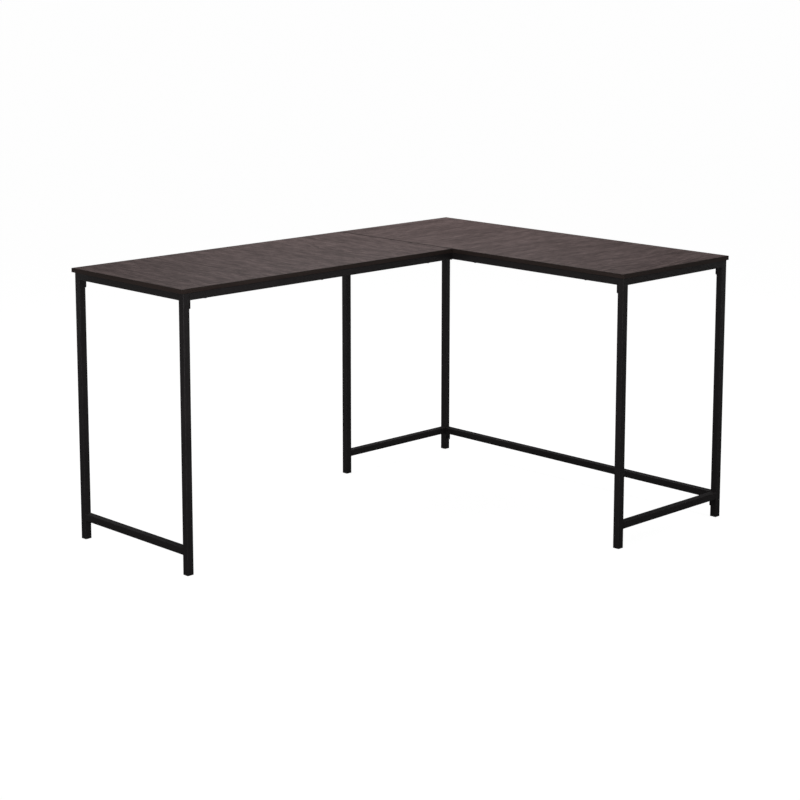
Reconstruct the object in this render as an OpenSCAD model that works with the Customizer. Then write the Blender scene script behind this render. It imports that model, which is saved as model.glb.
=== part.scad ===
// Corner desk: two wood-grain laminate tops on a bolted frame of black square steel tube.
// Millimetres. The floor is z = 0, +Z is up and the origin is under the middle of the whole desk.
// The outer corner of the L is at +X +Y, the left wing runs towards -X and the right wing towards -Y.

/* [Desk] */
// Length of the back edge, over both tops
desk_length = 1460; // [1200:5:1800]
// Depth of the right side, over both tops
desk_depth = 1118; // [950:1:1500]
// Height of the top surface above the floor
desk_height = 762; // [650:1:820]
// Depth of the left top, from back edge to front edge
left_top_depth = 482; // [400:1:600]
// Width of the right top, which runs into the outer corner
right_top_width = 467; // [400:1:600]

/* [Tops] */
// Thickness of the tops
top_thickness = 12; // [10:0.5:25]
// Thickness of the edge banding
band_thickness = 2.5; // [1.1:0.1:3]
// Radius on the long edges of the banding
band_radius = 1; // [0.2:0.1:1]
// Hairline between two strips of banding at a corner
band_joint = 0.1; // [0.05:0.05:0.3]
// Gap between the two tops
seam_gap = 3.5; // [0.4:0.1:4]
// How far the tops stand out past the frame
overhang = 4; // [1:0.5:20]
// How far the left top stands out past the left end frame
left_overhang = 8; // [1:0.5:20]

/* [Frame] */
// Outside width of the square tube
tube_width = 20; // [19:0.5:30]
// Wall of the square tube
tube_wall = 1.2; // [1:0.1:2]
// Outside corner radius of the square tube
tube_radius = 1.5; // [1.3:0.1:3]
// Height of the stretchers' undersides above the floor
stretcher_height = 53; // [40:1:200]
// Width of the flat bar under the gap between the tops
seam_bar_width = 30; // [20:1:40]
// Thickness of that bar
seam_bar_thickness = 3; // [2:0.5:5]
// Radius of its long edges
seam_bar_radius = 0.5; // [0.2:0.1:1]

/* [Rail end plates] */
// Length of a plate, from the top of its rail down
plate_length = 43; // [39:0.5:60]
// Thickness of a plate
plate_thickness = 3; // [1.5:0.1:3]
// Radius of the two free corners of a plate
plate_radius = 4; // [1:0.5:6]
// From the bolt's centre to the plate's free end
plate_bolt_edge = 11.5; // [9:0.5:14]

/* [Frame bolts and nuts] */
// Diameter of the frame bolts
bolt_diameter = 6; // [5:0.5:6]
// Length of the bolts under the head
bolt_length = 8; // [7.5:0.1:8]
// Diameter of the bolt heads
bolt_head_diameter = 10.5; // [9:0.5:12]
// Height of the bolt heads
bolt_head_height = 3.2; // [2.5:0.1:4]
// Width of the weld nuts across their flats
nut_width = 10; // [9:0.5:10]
// Thickness of the weld nuts
nut_thickness = 3.2; // [2.5:0.1:3.2]

/* [Screws under the tops] */
// Diameter of the screws that hold the tops
screw_diameter = 4; // [3:0.5:5]
// Diameter of their heads
screw_head_diameter = 8; // [7:0.5:9]
// Height of their heads
screw_head_height = 2.4; // [2:0.1:3]
// Depth of the screws in the tops
screw_bite = 9; // [6:0.5:9]
// Distance from each end of the left top to its nearest screws
left_screw_inset = 88; // [70:1:150]
// Distance from each end of the right top to its nearest screws
right_screw_inset = 144; // [70:1:300]

/* [Foot caps] */
// Height of the flange under each leg
foot_flange = 2.5; // [1.5:0.1:5]
// Height of the plug inside each leg
foot_plug = 14; // [8:1:25]
// Wall of the plug
foot_wall = 2; // [1.5:0.1:3]

/* [Hidden] */
$fn = 48;

// Edges of the whole desk and of the two tops
right = desk_length / 2;
left = -desk_length / 2;
back = desk_depth / 2;
front = -desk_depth / 2;
seam = right - right_top_width;
left_top_front = back - left_top_depth;

// Heights
underside = desk_height - top_thickness;
rail_z = underside - tube_width;
plate_z = underside - plate_length;
stretcher_plate_z = stretcher_height + tube_width - plate_length;

// Low corner of each leg, seen from above
left_leg_x = left + left_overhang;
inner_leg_x = seam + overhang;
corner_leg_x = right - overhang - tube_width;
back_leg_y = back - overhang - tube_width;
left_front_leg_y = left_top_front + overhang;
front_leg_y = front + overhang;
LEGS = [
    [left_leg_x, back_leg_y], [left_leg_x, left_front_leg_y],
    [inner_leg_x, back_leg_y], [corner_leg_x, back_leg_y],
    [inner_leg_x, front_leg_y], [corner_leg_x, front_leg_y]
];

// Lengths of the cross tubes that are welded between two legs
left_end_span = back_leg_y - left_front_leg_y - tube_width;
right_end_span = corner_leg_x - inner_leg_x - tube_width;
// Lengths of the long tubes, which end in plates
left_back_span = inner_leg_x - left_leg_x - tube_width - 2 * plate_thickness;
side_span = back_leg_y - front_leg_y - tube_width - 2 * plate_thickness;

// Where each plate meets a leg or the inner rail, and which way its rail leaves
PLATES = [
    [[left_leg_x + tube_width, left_front_leg_y, plate_z], [0, 0, 0]],
    [[left_leg_x + tube_width, back_leg_y, plate_z], [0, 0, 0]],
    [[inner_leg_x, back_leg_y + tube_width, plate_z], [0, 0, 180]],
    [[inner_leg_x, back_leg_y, plate_z], [0, 0, -90]],
    [[inner_leg_x + tube_width, front_leg_y + tube_width, plate_z], [0, 0, 90]],
    [[corner_leg_x, back_leg_y, plate_z], [0, 0, -90]],
    [[corner_leg_x + tube_width, front_leg_y + tube_width, plate_z], [0, 0, 90]],
    [[corner_leg_x, back_leg_y, stretcher_plate_z], [0, 0, -90]],
    [[corner_leg_x + tube_width, front_leg_y + tube_width, stretcher_plate_z], [0, 0, 90]],
    // The left front rail's other plate lies on its side against the inner rail
    [[inner_leg_x, left_front_leg_y + plate_length, underside], [-90, 0, 180]]
];

// Screw places along each top
left_length = seam - seam_gap - left;
LEFT_SCREWS_X = [left + left_screw_inset, left + left_length / 2, seam - left_screw_inset];
RIGHT_SCREWS_Y = [front + right_screw_inset, (front + back) / 2, back - right_screw_inset];
rail_middle = tube_width / 2;
LEFT_SCREWS = [
    for (x = LEFT_SCREWS_X, y = [left_front_leg_y, back_leg_y]) [x, y + rail_middle]
];
RIGHT_SCREWS = [
    for (y = RIGHT_SCREWS_Y, x = [inner_leg_x, corner_leg_x]) [x + rail_middle, y]
];

steel = [0.10, 0.09, 0.095];
laminate = [0.33, 0.29, 0.285];
banding = [0.17, 0.13, 0.12];
black_plastic = [0.06, 0.06, 0.06];
black_zinc = [0.08, 0.08, 0.085];
bare_steel = [0.45, 0.45, 0.46];
cut = 1;

// ---- Shared shapes ----

module rounded_rectangle(width, height, radius) {
    translate([radius, 0]) square([width - 2 * radius, height]);
    translate([0, radius]) square([width, height - 2 * radius]);
    for (x = [radius, width - radius], y = [radius, height - radius])
        translate([x, y]) circle(r = radius);
}

module tube_profile() {
    difference() {
        rounded_rectangle(tube_width, tube_width, tube_radius);
        translate([tube_wall, tube_wall])
            rounded_rectangle(
                tube_width - 2 * tube_wall, tube_width - 2 * tube_wall, tube_radius - tube_wall
            );
    }
}

module tube_up(length) {
    linear_extrude(length) tube_profile();
}

module tube_along_x(length) {
    rotate([90, 0, 90]) tube_up(length);
}

module tube_along_y(length) {
    translate([0, length, 0]) rotate([90, 0, 0]) tube_up(length);
}

// In a plate's own frame the leg is at x < 0, the rail leaves along +x and z = 0 is the free end
module at_plates() {
    for (place = PLATES)
        translate(place[0]) rotate(place[1]) children();
}

module at_plate_bolts() {
    at_plates()
        translate([0, tube_width / 2, plate_bolt_edge]) rotate([0, 90, 0]) children();
}

module bolt_hole() {
    translate([0, 0, -tube_wall - cut]) cylinder(d = bolt_diameter, h = tube_wall + cut + plate_thickness + cut);
}

module screw_holes(places) {
    for (place = places)
        translate([place[0], place[1], rail_z - cut])
            cylinder(d = screw_diameter, h = tube_width + cut + screw_bite);
}

// ---- Tops ----

module top_panel(x, y, width, depth, screws) {
    difference() {
        translate([x + band_thickness, y + band_thickness, underside])
            cube([width - 2 * band_thickness, depth - 2 * band_thickness, top_thickness]);
        screw_holes(screws);
    }
}

module band_profile() {
    difference() {
        square([band_thickness, top_thickness]);
        for (z = [0, 1])
            translate([0, z * top_thickness]) mirror([0, z, 0])
                difference() {
                    translate([-cut, -cut]) square(band_radius + cut);
                    translate([band_radius, band_radius]) circle(r = band_radius);
                }
    }
}

// A strip whose outer face is at x = 0 and which runs along +y from y = 0
module band_strip(length) {
    translate([0, length, 0]) rotate([90, 0, 0]) linear_extrude(length) band_profile();
}

module edge_banding(x, y, width, depth) {
    corner = band_thickness + band_joint;
    short = depth - 2 * corner;
    translate([x, y, underside]) {
        translate([0, corner, 0]) band_strip(short);
        translate([width, depth - corner, 0]) rotate([0, 0, 180]) band_strip(short);
        translate([width, 0, 0]) rotate([0, 0, 90]) band_strip(width);
        translate([0, depth, 0]) rotate([0, 0, -90]) band_strip(width);
    }
}

module left_top_panel() {
    color(laminate) top_panel(left, left_top_front, left_length, left_top_depth, LEFT_SCREWS);
}

module right_top_panel() {
    color(laminate) top_panel(seam, front, right_top_width, desk_depth, RIGHT_SCREWS);
}

module left_edge_banding() {
    color(banding) edge_banding(left, left_top_front, left_length, left_top_depth);
}

module right_edge_banding() {
    color(banding) edge_banding(seam, front, right_top_width, desk_depth);
}

// ---- Legs ----

module leg(number) {
    color(steel) difference() {
        translate([LEGS[number][0], LEGS[number][1], foot_flange]) tube_up(underside - foot_flange);
        at_plate_bolts() bolt_hole();
    }
}

module leg_left_back() { leg(0); }
module leg_left_front() { leg(1); }
module leg_inner_back() { leg(2); }
module leg_corner_back() { leg(3); }
module leg_inner_front() { leg(4); }
module leg_right_front() { leg(5); }

// ---- Cross tubes of the three welded end frames ----

module left_end_tube(z) {
    color(steel) translate([left_leg_x, left_front_leg_y + tube_width, z]) tube_along_y(left_end_span);
}

module right_end_tube(y, z) {
    color(steel) translate([inner_leg_x + tube_width, y, z]) tube_along_x(right_end_span);
}

module left_end_top_rail() { left_end_tube(rail_z); }
module left_end_stretcher() { left_end_tube(stretcher_height); }
module back_end_top_rail() { right_end_tube(back_leg_y, rail_z); }
module back_end_stretcher() { right_end_tube(back_leg_y, stretcher_height); }
module front_end_top_rail() { right_end_tube(front_leg_y, rail_z); }
module front_end_stretcher() { right_end_tube(front_leg_y, stretcher_height); }

// ---- Long tubes that bolt the end frames together ----

module left_long_rail(y) {
    color(steel) difference() {
        translate([left_leg_x + tube_width + plate_thickness, y, rail_z]) tube_along_x(left_back_span);
        screw_holes(LEFT_SCREWS);
    }
}

module side_tube(x, z) {
    translate([x, front_leg_y + tube_width + plate_thickness, z]) tube_along_y(side_span);
}

module left_front_rail() { left_long_rail(left_front_leg_y); }
module left_back_rail() { left_long_rail(back_leg_y); }

module inner_rail() {
    color(steel) difference() {
        side_tube(inner_leg_x, rail_z);
        screw_holes(RIGHT_SCREWS);
        at_plate_bolts() bolt_hole();
    }
}

module right_side_rail() {
    color(steel) difference() {
        side_tube(corner_leg_x, rail_z);
        screw_holes(RIGHT_SCREWS);
    }
}

module right_side_stretcher() {
    color(steel) side_tube(corner_leg_x, stretcher_height);
}

// A flat bar welded between the left rails, which carries the left top's free end and closes
// the gap between the tops from below
module seam_cross_rail() {
    color(steel)
        translate([
            inner_leg_x - plate_thickness - seam_bar_width,
            back_leg_y,
            underside - seam_bar_thickness
        ])
            rotate([90, 0, 0]) linear_extrude(left_end_span)
                rounded_rectangle(seam_bar_width, seam_bar_thickness, seam_bar_radius);
}

module plate_profile() {
    translate([0, plate_radius]) square([tube_width, plate_length - plate_radius]);
    translate([plate_radius, 0]) square([tube_width - 2 * plate_radius, plate_length]);
    for (y = [plate_radius, tube_width - plate_radius])
        translate([y, plate_radius]) circle(r = plate_radius);
}

module rail_end_plates() {
    color(steel) difference() {
        at_plates() rotate([90, 0, 90]) linear_extrude(plate_thickness) plate_profile();
        at_plate_bolts() bolt_hole();
    }
}

// ---- Fasteners ----

// Button head with a hexagon socket, its seat at z = 0
module bolt_head() {
    dome = bolt_head_height - 1;
    difference() {
        rotate_extrude()
            polygon([
                [0, 0], [bolt_head_diameter / 2, 0], [bolt_head_diameter / 2, 1],
                for (step = [1:8]) [
                    bolt_head_diameter / 2 * (1 - 0.45 * (1 - cos(step * 90 / 8))),
                    1 + dome * sin(step * 90 / 8)
                ],
                [0, bolt_head_height]
            ]);
        translate([0, 0, bolt_head_height - 2]) cylinder(d = 4.6, h = 2 + cut, $fn = 6);
    }
}

module frame_bolts() {
    color(black_zinc) at_plate_bolts() translate([0, 0, plate_thickness]) {
        bolt_head();
        translate([0, 0, -bolt_length]) cylinder(d = bolt_diameter, h = bolt_length + cut / 2);
    }
}

module weld_nuts() {
    color(bare_steel) at_plate_bolts() translate([0, 0, -tube_wall - nut_thickness])
        difference() {
            cylinder(d = nut_width / cos(30), h = nut_thickness, $fn = 6);
            translate([0, 0, -cut]) cylinder(d = bolt_diameter, h = nut_thickness + 2 * cut);
        }
}

// Pan-head screw, its head under the rail and its tip in the board
module panel_screw() {
    slot = 0.9;
    translate([0, 0, rail_z]) cylinder(d = screw_diameter, h = tube_width + screw_bite);
    difference() {
        translate([0, 0, rail_z - screw_head_height])
            rotate_extrude()
                polygon([
                    [0, 0], [screw_head_diameter / 2 - 1.2, 0], [screw_head_diameter / 2 - 0.4, 0.5],
                    [screw_head_diameter / 2, 1.3], [screw_head_diameter / 2, screw_head_height],
                    [0, screw_head_height]
                ]);
        for (turn = [0, 90])
            rotate([0, 0, turn])
                translate([-2.2, -slot / 2, rail_z - screw_head_height - cut])
                    cube([4.4, slot, cut + 1.3]);
    }
}

module panel_screws() {
    color(black_zinc)
        for (place = concat(LEFT_SCREWS, RIGHT_SCREWS))
            translate([place[0], place[1], 0]) panel_screw();
}

// ---- Foot caps ----

module foot_cap() {
    plug = tube_width - 2 * tube_wall;
    pocket = plug - 2 * foot_wall;
    linear_extrude(foot_flange) rounded_rectangle(tube_width, tube_width, tube_radius);
    difference() {
        translate([tube_wall, tube_wall, 0])
            linear_extrude(foot_flange + foot_plug)
                rounded_rectangle(plug, plug, tube_radius - tube_wall);
        translate([tube_wall + foot_wall, tube_wall + foot_wall, foot_flange])
            cube([pocket, pocket, foot_plug + cut]);
    }
}

module foot_caps() {
    color(black_plastic)
        for (place = LEGS)
            translate([place[0], place[1], 0]) foot_cap();
}

left_top_panel();
right_top_panel();
left_edge_banding();
right_edge_banding();
leg_left_back();
leg_left_front();
leg_inner_back();
leg_corner_back();
leg_inner_front();
leg_right_front();
left_end_top_rail();
left_end_stretcher();
back_end_top_rail();
back_end_stretcher();
front_end_top_rail();
front_end_stretcher();
left_front_rail();
left_back_rail();
inner_rail();
right_side_rail();
right_side_stretcher();
seam_cross_rail();
rail_end_plates();
frame_bolts();
weld_nuts();
panel_screws();
foot_caps();
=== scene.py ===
"""Corner desk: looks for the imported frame. Metres, +Z up, the floor at z = 0."""

import math
import random

import bmesh
import bpy
from mathutils import Matrix, Vector


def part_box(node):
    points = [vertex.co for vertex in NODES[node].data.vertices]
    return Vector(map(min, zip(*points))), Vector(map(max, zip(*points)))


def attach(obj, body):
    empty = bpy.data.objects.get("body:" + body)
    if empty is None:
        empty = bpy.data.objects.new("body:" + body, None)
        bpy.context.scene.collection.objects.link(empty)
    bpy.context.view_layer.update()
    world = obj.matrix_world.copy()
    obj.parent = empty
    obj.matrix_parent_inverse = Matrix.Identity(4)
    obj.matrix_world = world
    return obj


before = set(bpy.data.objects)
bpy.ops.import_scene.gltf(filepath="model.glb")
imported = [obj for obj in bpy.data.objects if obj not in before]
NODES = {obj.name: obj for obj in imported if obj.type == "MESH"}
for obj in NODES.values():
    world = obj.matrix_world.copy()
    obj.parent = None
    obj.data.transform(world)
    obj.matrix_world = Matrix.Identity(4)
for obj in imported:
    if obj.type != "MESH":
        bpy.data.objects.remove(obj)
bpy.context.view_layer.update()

MM = 0.001
X, Y, Z = 0, 1, 2

# ---- Camera: the photograph's angle, worked out from the desk's own edges ----
CAMERA_PLACE = Vector((-3.804, -3.855, 1.630))
CAMERA_HEADING = math.radians(45.578)
CAMERA_PITCH = math.radians(9.174)
CAMERA_ROLL = math.radians(0.051)
CAMERA_LENS = 88.895
CAMERA_SENSOR = 36
CAMERA_SHIFT = -0.17
CAMERA_REACH = (0.05, 200)

# ---- Colours of the finishes, in linear light ----
LAMINATE_DARK = (0.052, 0.032, 0.0300)
LAMINATE_MIDDLE = (0.112, 0.076, 0.0730)
LAMINATE_PALE = (0.196, 0.140, 0.135)
LAMINATE_PORE = (0.024, 0.015, 0.014)
BACKING_DARK = (0.030, 0.024, 0.022)
BACKING_PALE = (0.046, 0.037, 0.034)
BANDING_DARK = (0.026, 0.0165, 0.0140)
BANDING_PALE = (0.048, 0.0330, 0.0290)
POWDER_DARK = (0.0094, 0.0071, 0.0077)
POWDER_PALE = (0.0148, 0.0114, 0.0122)
POWDER_RUBBED = (0.052, 0.047, 0.048)
HARDWARE_DARK = (0.012, 0.012, 0.013)
HARDWARE_PALE = (0.030, 0.030, 0.032)
STEEL_DARK = (0.28, 0.28, 0.29)
STEEL_PALE = (0.48, 0.48, 0.50)
FOOT_DARK = (0.0045, 0.0045, 0.0045)
FOOT_PALE = (0.0090, 0.0088, 0.0088)
FLOOR_COLOUR = (0.22, 0.22, 0.22)

# ---- Printed wood grain ----
RINGS_PER_METRE = 115
# How far noise moves the growth rings sideways, in metres: slowly, then quickly
RING_BEND = 0.20
RING_WOBBLE = 0.006
# Cycles a metre, along and across the grain, of that noise and of where the rings are clear
BEND_GRAIN = (1.3, 5)
WOBBLE_GRAIN = (11, 40)
CLEAR_GRAIN = (5, 30)
RING_SHADE = -0.13
# The layers: cycles a metre along and across the grain, the noise's detail, roughness and
# distortion, and the layer's share of the tone
GRAIN_LAYERS = {
    "figure": (4, 45, 5, 0.7, 0.4, 0.17),
    "flecks": (22, 190, 3, 0.6, 0.0, 0.41),
    "streaks": (8, 520, 4, 0.65, 0.0, 0.24),
    "fibres": (30, 1700, 3, 0.6, 0.0, 0.18),
}
GRAIN_LIFT = 0.035
# The tones that get the dark, the middle and the pale colour
GRAIN_TONES = (0.41, 0.50, 0.59)
PORE_GRAIN = (48, 1250)
PORE_STRENGTH = 0.75

# ---- Wear: how far the tubes' rounded corners and the weld beads are rubbed, from 0 to 1 ----
COAT_RUBBED = 0.55
WELDS_RUBBED = 0.12

# ---- Gloss: lowest and highest roughness, specular level and how metallic ----
LAMINATE_ROUGHNESS = (0.54, 0.68)
BANDING_ROUGHNESS = (0.54, 0.66)
POWDER_ROUGHNESS = (0.50, 0.64)
HARDWARE_ROUGHNESS = (0.34, 0.50)
STEEL_ROUGHNESS = (0.30, 0.45)
FOOT_ROUGHNESS = (0.50, 0.66)
LAMINATE_SPECULAR = 0.22
BANDING_SPECULAR = 0.18
POWDER_SPECULAR = 0.40
PLATED_SPECULAR = 0.5
FOOT_SPECULAR = 0.3
HARDWARE_METALLIC = 0.6
STEEL_METALLIC = 1.0

# ---- Fineness of each finish's texture, in cycles a metre ----
PAPER_FIBRE = 900
BANDING_LINES = (11, 11, 1300)
BANDING_CLOUD = (6, 6, 90)
POWDER_GRAIN = 1400
POWDER_CLOUD = 9
POWDER_SCUFF = 60
PLATING_CLOUD = 160
PLATING_SCRATCH = (2600, 2600, 300)
PLASTIC_GRAIN = 1100
PLASTIC_CLOUD = 80

# ---- Depth of each finish's relief ----
GRAIN_RELIEF = 0.12 * MM
BANDING_RELIEF = 0.05 * MM
COAT_RELIEF = 0.10 * MM
PLATING_RELIEF = 0.02 * MM
PLASTIC_RELIEF = 0.05 * MM

# ---- Light ----
SKY_SEEN = 0.98
SKY_LOW = 0.02
SKY_HIGH = 0.25
# How high, as a part of straight up, the sky starts and stops getting brighter
SKY_RISE = (0.15, 0.8)
# What the floor adds to its lit colour where the camera sees it
FLOOR_GLOW = 0.945
FLOOR_REACH = 45
# Name, place, what it points at, width and height, power in watts
SOFTBOXES = (
    ("front_light", (-0.9, -0.9, 1.0), (0.3, 0.3, 0.5), (1.2, 1.2), 4.6),
    ("left_light", (-1.9, -0.4, 0.6), (0.0, 0.2, 0.5), (1.0, 0.8), 6.4),
    ("right_light", (0.6, -2.7, 0.7), (0.4, -0.3, 0.5), (1.4, 0.9), 5.9),
    ("top_light", (0.75, 0.85, 2.4), (0.55, 0.4, 0.75), (1.4, 1.4), 25),
    ("back_light", (-0.9, 2.3, 0.4), (0.1, 0.2, 0.4), (1.2, 0.6), 2.6),
    ("side_light", (2.45, -0.7, 0.4), (0.5, 0.0, 0.4), (1.2, 0.6), 2.6),
)

# ---- Weld beads ----
BEAD_RADIUS = 1.7 * MM
BEAD_PITCH = 2.1 * MM
BEAD_STEP = 0.45 * MM
BEAD_SIDES = 10
BEAD_CORNER = 1.2 * MM
BEAD_CORNER_STEPS = 6
BEAD_RIM = 0.3 * MM
# The radius between ripples, what a ripple adds and how much each ring strays, in bead radii
BEAD_WAIST = 0.86
BEAD_SWELL = 0.12
BEAD_STRAY = 0.02
# Under 1, ripples are wide with narrow valleys between them
RIPPLE_POWER = 0.6
BEAD_SEED = 7
# What is welded at both ends, the axis it runs along, and whether its beads go all round
WELDED = (
    ("left_end_top_rail", Y, False),
    ("left_end_stretcher", Y, True),
    ("back_end_top_rail", X, False),
    ("back_end_stretcher", X, True),
    ("front_end_top_rail", X, False),
    ("front_end_stretcher", X, True),
    ("inner_rail", Y, False),
    ("right_side_rail", Y, False),
    ("right_side_stretcher", Y, False),
    ("left_back_rail", X, False),
    ("left_front_rail", X, False),
    ("seam_cross_rail", Y, False),
)


# ---- Node helpers ----

class Finish:
    """A material whose Principled surface is fed by a few short node chains."""

    def __init__(self, name, **constants):
        self.material = bpy.data.materials.new(name)
        self.material.use_nodes = True
        self.tree = self.material.node_tree
        self.tree.nodes.clear()
        self.surface = self.add("ShaderNodeBsdfPrincipled")
        output = self.add("ShaderNodeOutputMaterial")
        self.link(self.surface.outputs["BSDF"], output.inputs["Surface"])
        for socket, value in constants.items():
            self.surface.inputs[socket.replace("_", " ")].default_value = value
        self.place = self.add("ShaderNodeTexCoord").outputs["Object"]

    def add(self, kind, **settings):
        node = self.tree.nodes.new(kind)
        for key, value in settings.items():
            setattr(node, key, value)
        return node

    def link(self, source, target):
        self.tree.links.new(source, target)

    def put(self, value, target):
        """Sets a socket to a number or colour, or links another socket to it."""
        if isinstance(value, bpy.types.NodeSocket):
            self.link(value, target)
        elif isinstance(value, tuple):
            target.default_value = (*value, 1)
        else:
            target.default_value = value

    def math(self, operation, *values):
        node = self.add("ShaderNodeMath", operation=operation)
        for value, target in zip(values, node.inputs):
            self.put(value, target)
        return node.outputs[0]

    def stretched(self, scale, offset=(0, 0, 0)):
        """The object's own coordinates, in metres, times a scale for each axis."""
        node = self.add("ShaderNodeMapping")
        self.link(self.place, node.inputs["Vector"])
        node.inputs["Scale"].default_value = scale
        node.inputs["Location"].default_value = offset
        return node.outputs[0]

    def noise(self, scale, offset=(0, 0, 0), detail=2.0, roughness=0.5, distortion=0.0):
        node = self.add("ShaderNodeTexNoise")
        self.link(self.stretched(scale, offset), node.inputs["Vector"])
        node.inputs["Scale"].default_value = 1.0
        node.inputs["Detail"].default_value = detail
        node.inputs["Roughness"].default_value = roughness
        node.inputs["Distortion"].default_value = distortion
        return node.outputs["Fac"]

    def remap(self, value, low, high, to_low=0.0, to_high=1.0, smooth=False):
        node = self.add("ShaderNodeMapRange")
        if smooth:
            node.interpolation_type = "SMOOTHSTEP"
        limits = {"From Min": low, "From Max": high, "To Min": to_low, "To Max": to_high}
        for key, number in limits.items():
            node.inputs[key].default_value = number
        self.link(value, node.inputs["Value"])
        return node.outputs["Result"]

    def blend(self, amount, first, second):
        node = self.add("ShaderNodeMix", data_type="RGBA")
        for value, number in ((amount, 0), (first, 6), (second, 7)):
            self.put(value, node.inputs[number])
        return node.outputs[2]

    def ramp(self, value, *stops):
        """A colour ramp through (position, colour) stops."""
        node = self.add("ShaderNodeValToRGB")
        elements = node.color_ramp.elements
        while len(elements) < len(stops):
            elements.new(0.5)
        for element, (position, colour) in zip(elements, stops):
            element.position = position
            element.color = (*colour, 1)
        self.link(value, node.inputs["Fac"])
        return node.outputs["Color"]

    def normal(self):
        """The surface direction's X, Y and Z."""
        geometry = self.add("ShaderNodeNewGeometry")
        split = self.add("ShaderNodeSeparateXYZ")
        self.link(geometry.outputs["Normal"], split.inputs[0])
        return list(split.outputs)

    def relief(self, height, distance):
        """Bump from a height, where a height of 1 is distance metres."""
        node = self.add("ShaderNodeBump")
        node.inputs["Strength"].default_value = 1.0
        node.inputs["Distance"].default_value = distance
        self.link(height, node.inputs["Height"])
        self.link(node.outputs["Normal"], self.surface.inputs["Normal"])

    def feed(self, socket, source):
        self.link(source, self.surface.inputs[socket])


# ---- Finishes ----

def grain(axis, along, across):
    """Noise scale, in cycles a metre, for grain that runs along one axis."""
    scale = [across, across, across]
    scale[axis] = along
    return tuple(scale)


def ring_lines(f, axis, offset):
    """Growth rings cut lengthways: long lines that bend slowly, each darkening to a sharp edge."""
    split = f.add("ShaderNodeSeparateXYZ")
    f.link(f.place, split.inputs[0])
    bend = f.noise(grain(axis, *BEND_GRAIN), offset, detail=2)
    wobble = f.noise(grain(axis, *WOBBLE_GRAIN), offset, detail=2)
    place = f.math("MULTIPLY_ADD", bend, RING_BEND, split.outputs[X + Y - axis])
    place = f.math("MULTIPLY_ADD", wobble, RING_WOBBLE, place)
    phase = f.math("FRACT", f.math("MULTIPLY", place, RINGS_PER_METRE))
    rise = f.remap(phase, 0.0, 0.85, smooth=True)
    return f.math("MULTIPLY", rise, f.remap(phase, 1.0, 0.88, smooth=True))


def laminate(name, axis, offset):
    """Printed wood grain with pores pressed into it, and plain backing paper underneath."""
    f = Finish(name, Specular_IOR_Level=LAMINATE_SPECULAR)
    rings = ring_lines(f, axis, offset)
    clear = f.remap(f.noise(grain(axis, *CLEAR_GRAIN), offset), 0.35, 0.65, 0.25, 1.0)
    layers = {}
    for layer, (along, across, *noise, _) in GRAIN_LAYERS.items():
        layers[layer] = f.noise(grain(axis, along, across), offset, *noise)
    tone = f.math("MULTIPLY", f.math("MULTIPLY", rings, clear), RING_SHADE)
    tone = f.math("ADD", tone, GRAIN_LIFT)
    for layer, (*_, share) in GRAIN_LAYERS.items():
        tone = f.math("MULTIPLY_ADD", layers[layer], share, tone)
    printed = f.ramp(tone, *zip(GRAIN_TONES, (LAMINATE_DARK, LAMINATE_MIDDLE, LAMINATE_PALE)))
    pores = f.noise(grain(axis, *PORE_GRAIN), offset)
    early = f.remap(rings, 0.55, 0.1, 0.0, 0.085)
    pore_mask = f.remap(f.math("ADD", pores, early), 0.66, 0.73, smooth=True)
    printed = f.blend(f.math("MULTIPLY", pore_mask, PORE_STRENGTH), printed, LAMINATE_PORE)
    paper = f.noise((PAPER_FIBRE,) * 3, detail=3)
    backing = f.ramp(paper, (0.35, BACKING_DARK), (0.65, BACKING_PALE))
    underneath = f.math("LESS_THAN", f.normal()[Z], -0.5)
    f.feed("Base Color", f.blend(underneath, printed, backing))
    rough = f.remap(layers["streaks"], 0.3, 0.7, *LAMINATE_ROUGHNESS)
    f.feed("Roughness", f.math("MULTIPLY_ADD", pore_mask, 0.12, rough))
    pressed = f.math("MULTIPLY", pore_mask, -1.0)
    f.relief(f.math("MULTIPLY_ADD", layers["fibres"], 0.4, pressed), GRAIN_RELIEF)
    return f.material


def banding(name):
    """Dark edge strip with fine lines along it and slow changes of tone and gloss."""
    f = Finish(name, Specular_IOR_Level=BANDING_SPECULAR)
    lines = f.noise(BANDING_LINES, detail=4, roughness=0.65)
    slow = f.noise(BANDING_CLOUD, detail=2)
    tone = f.math("MULTIPLY_ADD", slow, 0.4, f.math("MULTIPLY", lines, 0.6))
    f.feed("Base Color", f.ramp(tone, (0.35, BANDING_DARK), (0.65, BANDING_PALE)))
    f.feed("Roughness", f.remap(slow, 0.3, 0.7, *BANDING_ROUGHNESS))
    f.relief(lines, BANDING_RELIEF)
    return f.material


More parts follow.
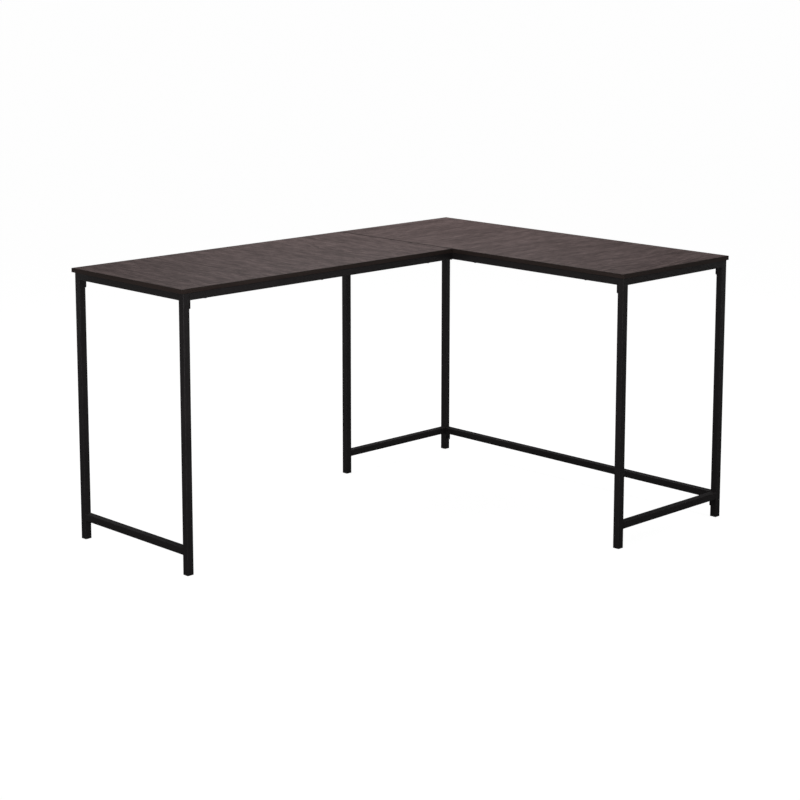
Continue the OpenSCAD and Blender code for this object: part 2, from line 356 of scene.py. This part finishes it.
def powder_coat(name, rubbed):
    """Black powder coat with a fine texture, scuffed a little paler where the surface curves."""
    f = Finish(name, Specular_IOR_Level=POWDER_SPECULAR)
    texture = f.noise((POWDER_GRAIN,) * 3, detail=3, roughness=0.55)
    slow = f.noise((POWDER_CLOUD,) * 3, detail=3)
    scuffs = f.noise((POWDER_SCUFF,) * 3, detail=5, roughness=0.7)
    coat = f.ramp(slow, (0.3, POWDER_DARK), (0.7, POWDER_PALE))
    flatness = f.math("ABSOLUTE", f.normal()[X])
    for part in f.normal()[Y:]:
        flatness = f.math("MAXIMUM", flatness, f.math("ABSOLUTE", part))
    corner = f.remap(flatness, 0.96, 0.80, smooth=True)
    worn = f.math("MULTIPLY", corner, f.remap(scuffs, 0.45, 0.68, 0.0, rubbed, smooth=True))
    f.feed("Base Color", f.blend(worn, coat, POWDER_RUBBED))
    mixed = f.math("MULTIPLY_ADD", slow, 0.5, f.math("MULTIPLY", texture, 0.5))
    rough = f.remap(mixed, 0.35, 0.65, *POWDER_ROUGHNESS)
    f.feed("Roughness", f.math("MULTIPLY_ADD", worn, -0.08, rough))
    f.relief(texture, COAT_RELIEF)
    return f.material


def plated(name, dark, pale, metallic, roughness):
    """Plated steel with fine scratches and slow cloudiness."""
    f = Finish(name, Metallic=metallic, Specular_IOR_Level=PLATED_SPECULAR)
    cloud = f.noise((PLATING_CLOUD,) * 3, detail=3)
    scratches = f.noise(PLATING_SCRATCH, detail=4, roughness=0.7)
    tone = f.math("MULTIPLY_ADD", cloud, 0.6, f.math("MULTIPLY", scratches, 0.4))
    f.feed("Base Color", f.ramp(tone, (0.35, dark), (0.65, pale)))
    f.feed("Roughness", f.remap(tone, 0.35, 0.65, *roughness))
    f.relief(scratches, PLATING_RELIEF)
    return f.material


def moulded_plastic(name):
    """Matt black polyethylene with a faint moulded texture."""
    f = Finish(name, Specular_IOR_Level=FOOT_SPECULAR)
    texture = f.noise((PLASTIC_GRAIN,) * 3, detail=3)
    slow = f.noise((PLASTIC_CLOUD,) * 3, detail=3)
    f.feed("Base Color", f.ramp(slow, (0.3, FOOT_DARK), (0.7, FOOT_PALE)))
    f.feed("Roughness", f.remap(texture, 0.3, 0.7, *FOOT_ROUGHNESS))
    f.relief(texture, PLASTIC_RELIEF)
    return f.material


def assign(material, *nodes):
    """Puts a material in every slot of some CAD nodes."""
    for node in nodes:
        for slot in NODES[node].material_slots:
            slot.material = material


def finish_nodes():
    """Gives every CAD node its material. The grain runs across each wing."""
    assign(laminate("laminate_left", Y, (3.7, 1.3, 0.0)), "left_top_panel")
    assign(laminate("laminate_right", X, (8.1, 5.9, 0.0)), "right_top_panel")
    assign(banding("edge_banding"), "left_edge_banding", "right_edge_banding")
    coat = powder_coat("powder_coat", COAT_RUBBED)
    steel = [n for n in NODES if n.startswith("leg_") or n.endswith(("_rail", "_stretcher"))]
    assign(coat, *steel, "rail_end_plates")
    hardware = plated(
        "black_hardware", HARDWARE_DARK, HARDWARE_PALE, HARDWARE_METALLIC, HARDWARE_ROUGHNESS
    )
    assign(hardware, "frame_bolts", "panel_screws")
    bare = plated("bare_steel", STEEL_DARK, STEEL_PALE, STEEL_METALLIC, STEEL_ROUGHNESS)
    assign(bare, "weld_nuts")
    assign(moulded_plastic("foot_plastic"), "foot_caps")


# ---- Weld beads ----

def corner_path(points, closed):
    """The points of a path in one plane, its corners rounded, about BEAD_STEP apart."""
    count = len(points)
    corners = []
    for i, here in enumerate(points):
        if not closed and i in (0, count - 1):
            corners.append(here)
            continue
        before = (points[i - 1] - here).normalized()
        after = (points[(i + 1) % count] - here).normalized()
        centre = here + (before + after) * BEAD_CORNER
        start = here + before * BEAD_CORNER - centre
        end = here + after * BEAD_CORNER - centre
        for step in range(BEAD_CORNER_STEPS + 1):
            angle = step / BEAD_CORNER_STEPS * math.pi / 2
            corners.append(centre + start * math.cos(angle) + end * math.sin(angle))
    if closed:
        corners.append(corners[0])
    path = []
    for first, second in zip(corners, corners[1:]):
        pieces = max(1, round((second - first).length / BEAD_STEP))
        path += [first.lerp(second, k / pieces) for k in range(pieces)]
    if not closed:
        path.append(corners[-1])
    return path


def sweep_bead(mesh, path, closed, plane_normal, draw):
    """A rippled round bead along a path that lies in one plane."""
    rings = []
    count = len(path)
    phase = draw.uniform(0, math.tau)
    for i, place in enumerate(path):
        if closed:
            along = path[(i + 1) % count] - path[i - 1]
        else:
            along = path[min(i + 1, count - 1)] - path[max(i - 1, 0)]
        outward = along.normalized().cross(plane_normal)
        ripple = 0.5 + 0.5 * math.cos(i * BEAD_STEP / BEAD_PITCH * math.tau + phase)
        swell = BEAD_SWELL * ripple ** RIPPLE_POWER
        radius = BEAD_RADIUS * (BEAD_WAIST + swell + draw.uniform(-BEAD_STRAY, BEAD_STRAY))
        ring = []
        for k in range(BEAD_SIDES):
            angle = k / BEAD_SIDES * math.tau
            offset = outward * math.cos(angle) + plane_normal * math.sin(angle)
            ring.append(mesh.verts.new(place + offset * radius))
        rings.append(ring)
    pairs = list(zip(rings, rings[1:]))
    if closed:
        pairs.append((rings[-1], rings[0]))
    else:
        mesh.faces.new(reversed(rings[0]))
        mesh.faces.new(rings[-1])
    for first, second in pairs:
        for k in range(BEAD_SIDES):
            m = (k + 1) % BEAD_SIDES
            mesh.faces.new((first[k], first[m], second[m], second[k]))


def weld_bead(mesh, node, axis, end, closed, draw):
    """A bead round one end of a tube or bar, its low end if end is 0 and its high end if 1.
    An open bead leaves out the upper edge."""
    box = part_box(node)
    low, high = box
    across = X + Y - axis
    side_low = low[across] + BEAD_RADIUS
    side_high = high[across] - BEAD_RADIUS
    rim = high[Z] if closed else high[Z] - BEAD_RIM
    outline = ((side_low, rim), (side_low, low[Z]), (side_high, low[Z]), (side_high, rim))
    corners = []
    for side, height in outline:
        spot = Vector((0, 0, height))
        spot[axis] = box[end][axis]
        spot[across] = side
        corners.append(spot)
    normal = Vector((0, 0, 0))
    normal[axis] = 1
    sweep_bead(mesh, corner_path(corners, closed), closed, normal, draw)


def weld_beads():
    """One piece with the beads at both ends of every welded tube and of the flat bar."""
    draw = random.Random(BEAD_SEED)
    mesh = bmesh.new()
    for node, axis, closed in WELDED:
        for end in (0, 1):
            weld_bead(mesh, node, axis, end, closed, draw)
    bmesh.ops.recalc_face_normals(mesh, faces=mesh.faces)
    data = bpy.data.meshes.new("weld_beads")
    mesh.to_mesh(data)
    mesh.free()
    for face in data.polygons:
        face.use_smooth = True
    data.materials.append(powder_coat("powder_coat_welds", WELDS_RUBBED))
    piece = bpy.data.objects.new("weld_beads", data)
    bpy.context.scene.collection.objects.link(piece)
    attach(piece, "root")


# ---- Stage ----

def make_floor():
    """A plain floor that the camera sees as white."""
    data = bpy.data.meshes.new("floor")
    signs = ((-1, -1), (1, -1), (1, 1), (-1, 1))
    corners = [(x * FLOOR_REACH, y * FLOOR_REACH, 0) for x, y in signs]
    data.from_pydata(corners, [], [(0, 1, 2, 3)])
    f = Finish("floor", Roughness=0.9, Specular_IOR_Level=0.1)
    f.surface.inputs["Base Color"].default_value = (*FLOOR_COLOUR, 1)
    f.surface.inputs["Emission Color"].default_value = (1, 1, 1, 1)
    seen = f.add("ShaderNodeLightPath").outputs["Is Camera Ray"]
    f.feed("Emission Strength", f.math("MULTIPLY", seen, FLOOR_GLOW))
    data.materials.append(f.material)
    floor = bpy.data.objects.new("floor", data)
    bpy.context.scene.collection.objects.link(floor)


def make_sky():
    """White as seen, and for the light it gives, dim at the horizon and brighter overhead."""
    world = bpy.data.worlds.new("studio")
    bpy.context.scene.world = world
    world.use_nodes = True
    nodes = world.node_tree.nodes
    links = world.node_tree.links
    sky = nodes["Background"]
    sky.inputs["Color"].default_value = (1, 1, 1, 1)
    split = nodes.new("ShaderNodeSeparateXYZ")
    links.new(nodes.new("ShaderNodeTexCoord").outputs["Generated"], split.inputs[0])
    rise = nodes.new("ShaderNodeMapRange")
    rise.interpolation_type = "SMOOTHSTEP"
    rise.inputs["From Min"].default_value = SKY_RISE[0]
    rise.inputs["From Max"].default_value = SKY_RISE[1]
    rise.inputs["To Min"].default_value = SKY_LOW
    rise.inputs["To Max"].default_value = SKY_HIGH
    links.new(split.outputs["Z"], rise.inputs["Value"])
    seen = nodes.new("ShaderNodeMapRange")
    seen.inputs["To Max"].default_value = SKY_SEEN
    links.new(nodes.new("ShaderNodeLightPath").outputs["Is Camera Ray"], seen.inputs["Value"])
    links.new(rise.outputs["Result"], seen.inputs["To Min"])
    links.new(seen.outputs["Result"], sky.inputs["Strength"])


def make_lights():
    """Soft boxes, which the camera doesn't see."""
    for name, place, target, size, power in SOFTBOXES:
        data = bpy.data.lights.new(name, "AREA")
        data.shape = "RECTANGLE"
        data.size, data.size_y = size
        data.energy = power
        lamp = bpy.data.objects.new(name, data)
        lamp.location = place
        lamp.rotation_mode = "QUATERNION"
        lamp.rotation_quaternion = (Vector(place) - Vector(target)).to_track_quat("Z", "Y")
        lamp.visible_camera = False
        bpy.context.scene.collection.objects.link(lamp)


def make_camera():
    """The photograph's viewing angle, looking down a little so that it needs less shift."""
    data = bpy.data.cameras.new("camera")
    data.lens = CAMERA_LENS
    data.sensor_width = CAMERA_SENSOR
    data.shift_y = CAMERA_SHIFT
    data.clip_start, data.clip_end = CAMERA_REACH
    camera = bpy.data.objects.new("camera", data)
    forward = Vector((
        math.cos(CAMERA_HEADING) * math.cos(CAMERA_PITCH),
        math.sin(CAMERA_HEADING) * math.cos(CAMERA_PITCH),
        -math.sin(CAMERA_PITCH),
    ))
    level = Vector((math.sin(CAMERA_HEADING), -math.cos(CAMERA_HEADING), 0))
    upward = level.cross(forward)
    right = level * math.cos(CAMERA_ROLL) + upward * math.sin(CAMERA_ROLL)
    up = upward * math.cos(CAMERA_ROLL) - level * math.sin(CAMERA_ROLL)
    turn = Matrix((right, up, -forward)).transposed()
    camera.matrix_world = Matrix.Translation(CAMERA_PLACE) @ turn.to_4x4()
    bpy.context.scene.collection.objects.link(camera)
    bpy.context.scene.camera = camera


bpy.context.scene.view_settings.view_transform = "Standard"
make_camera()
make_floor()
make_sky()
make_lights()
finish_nodes()
weld_beads()
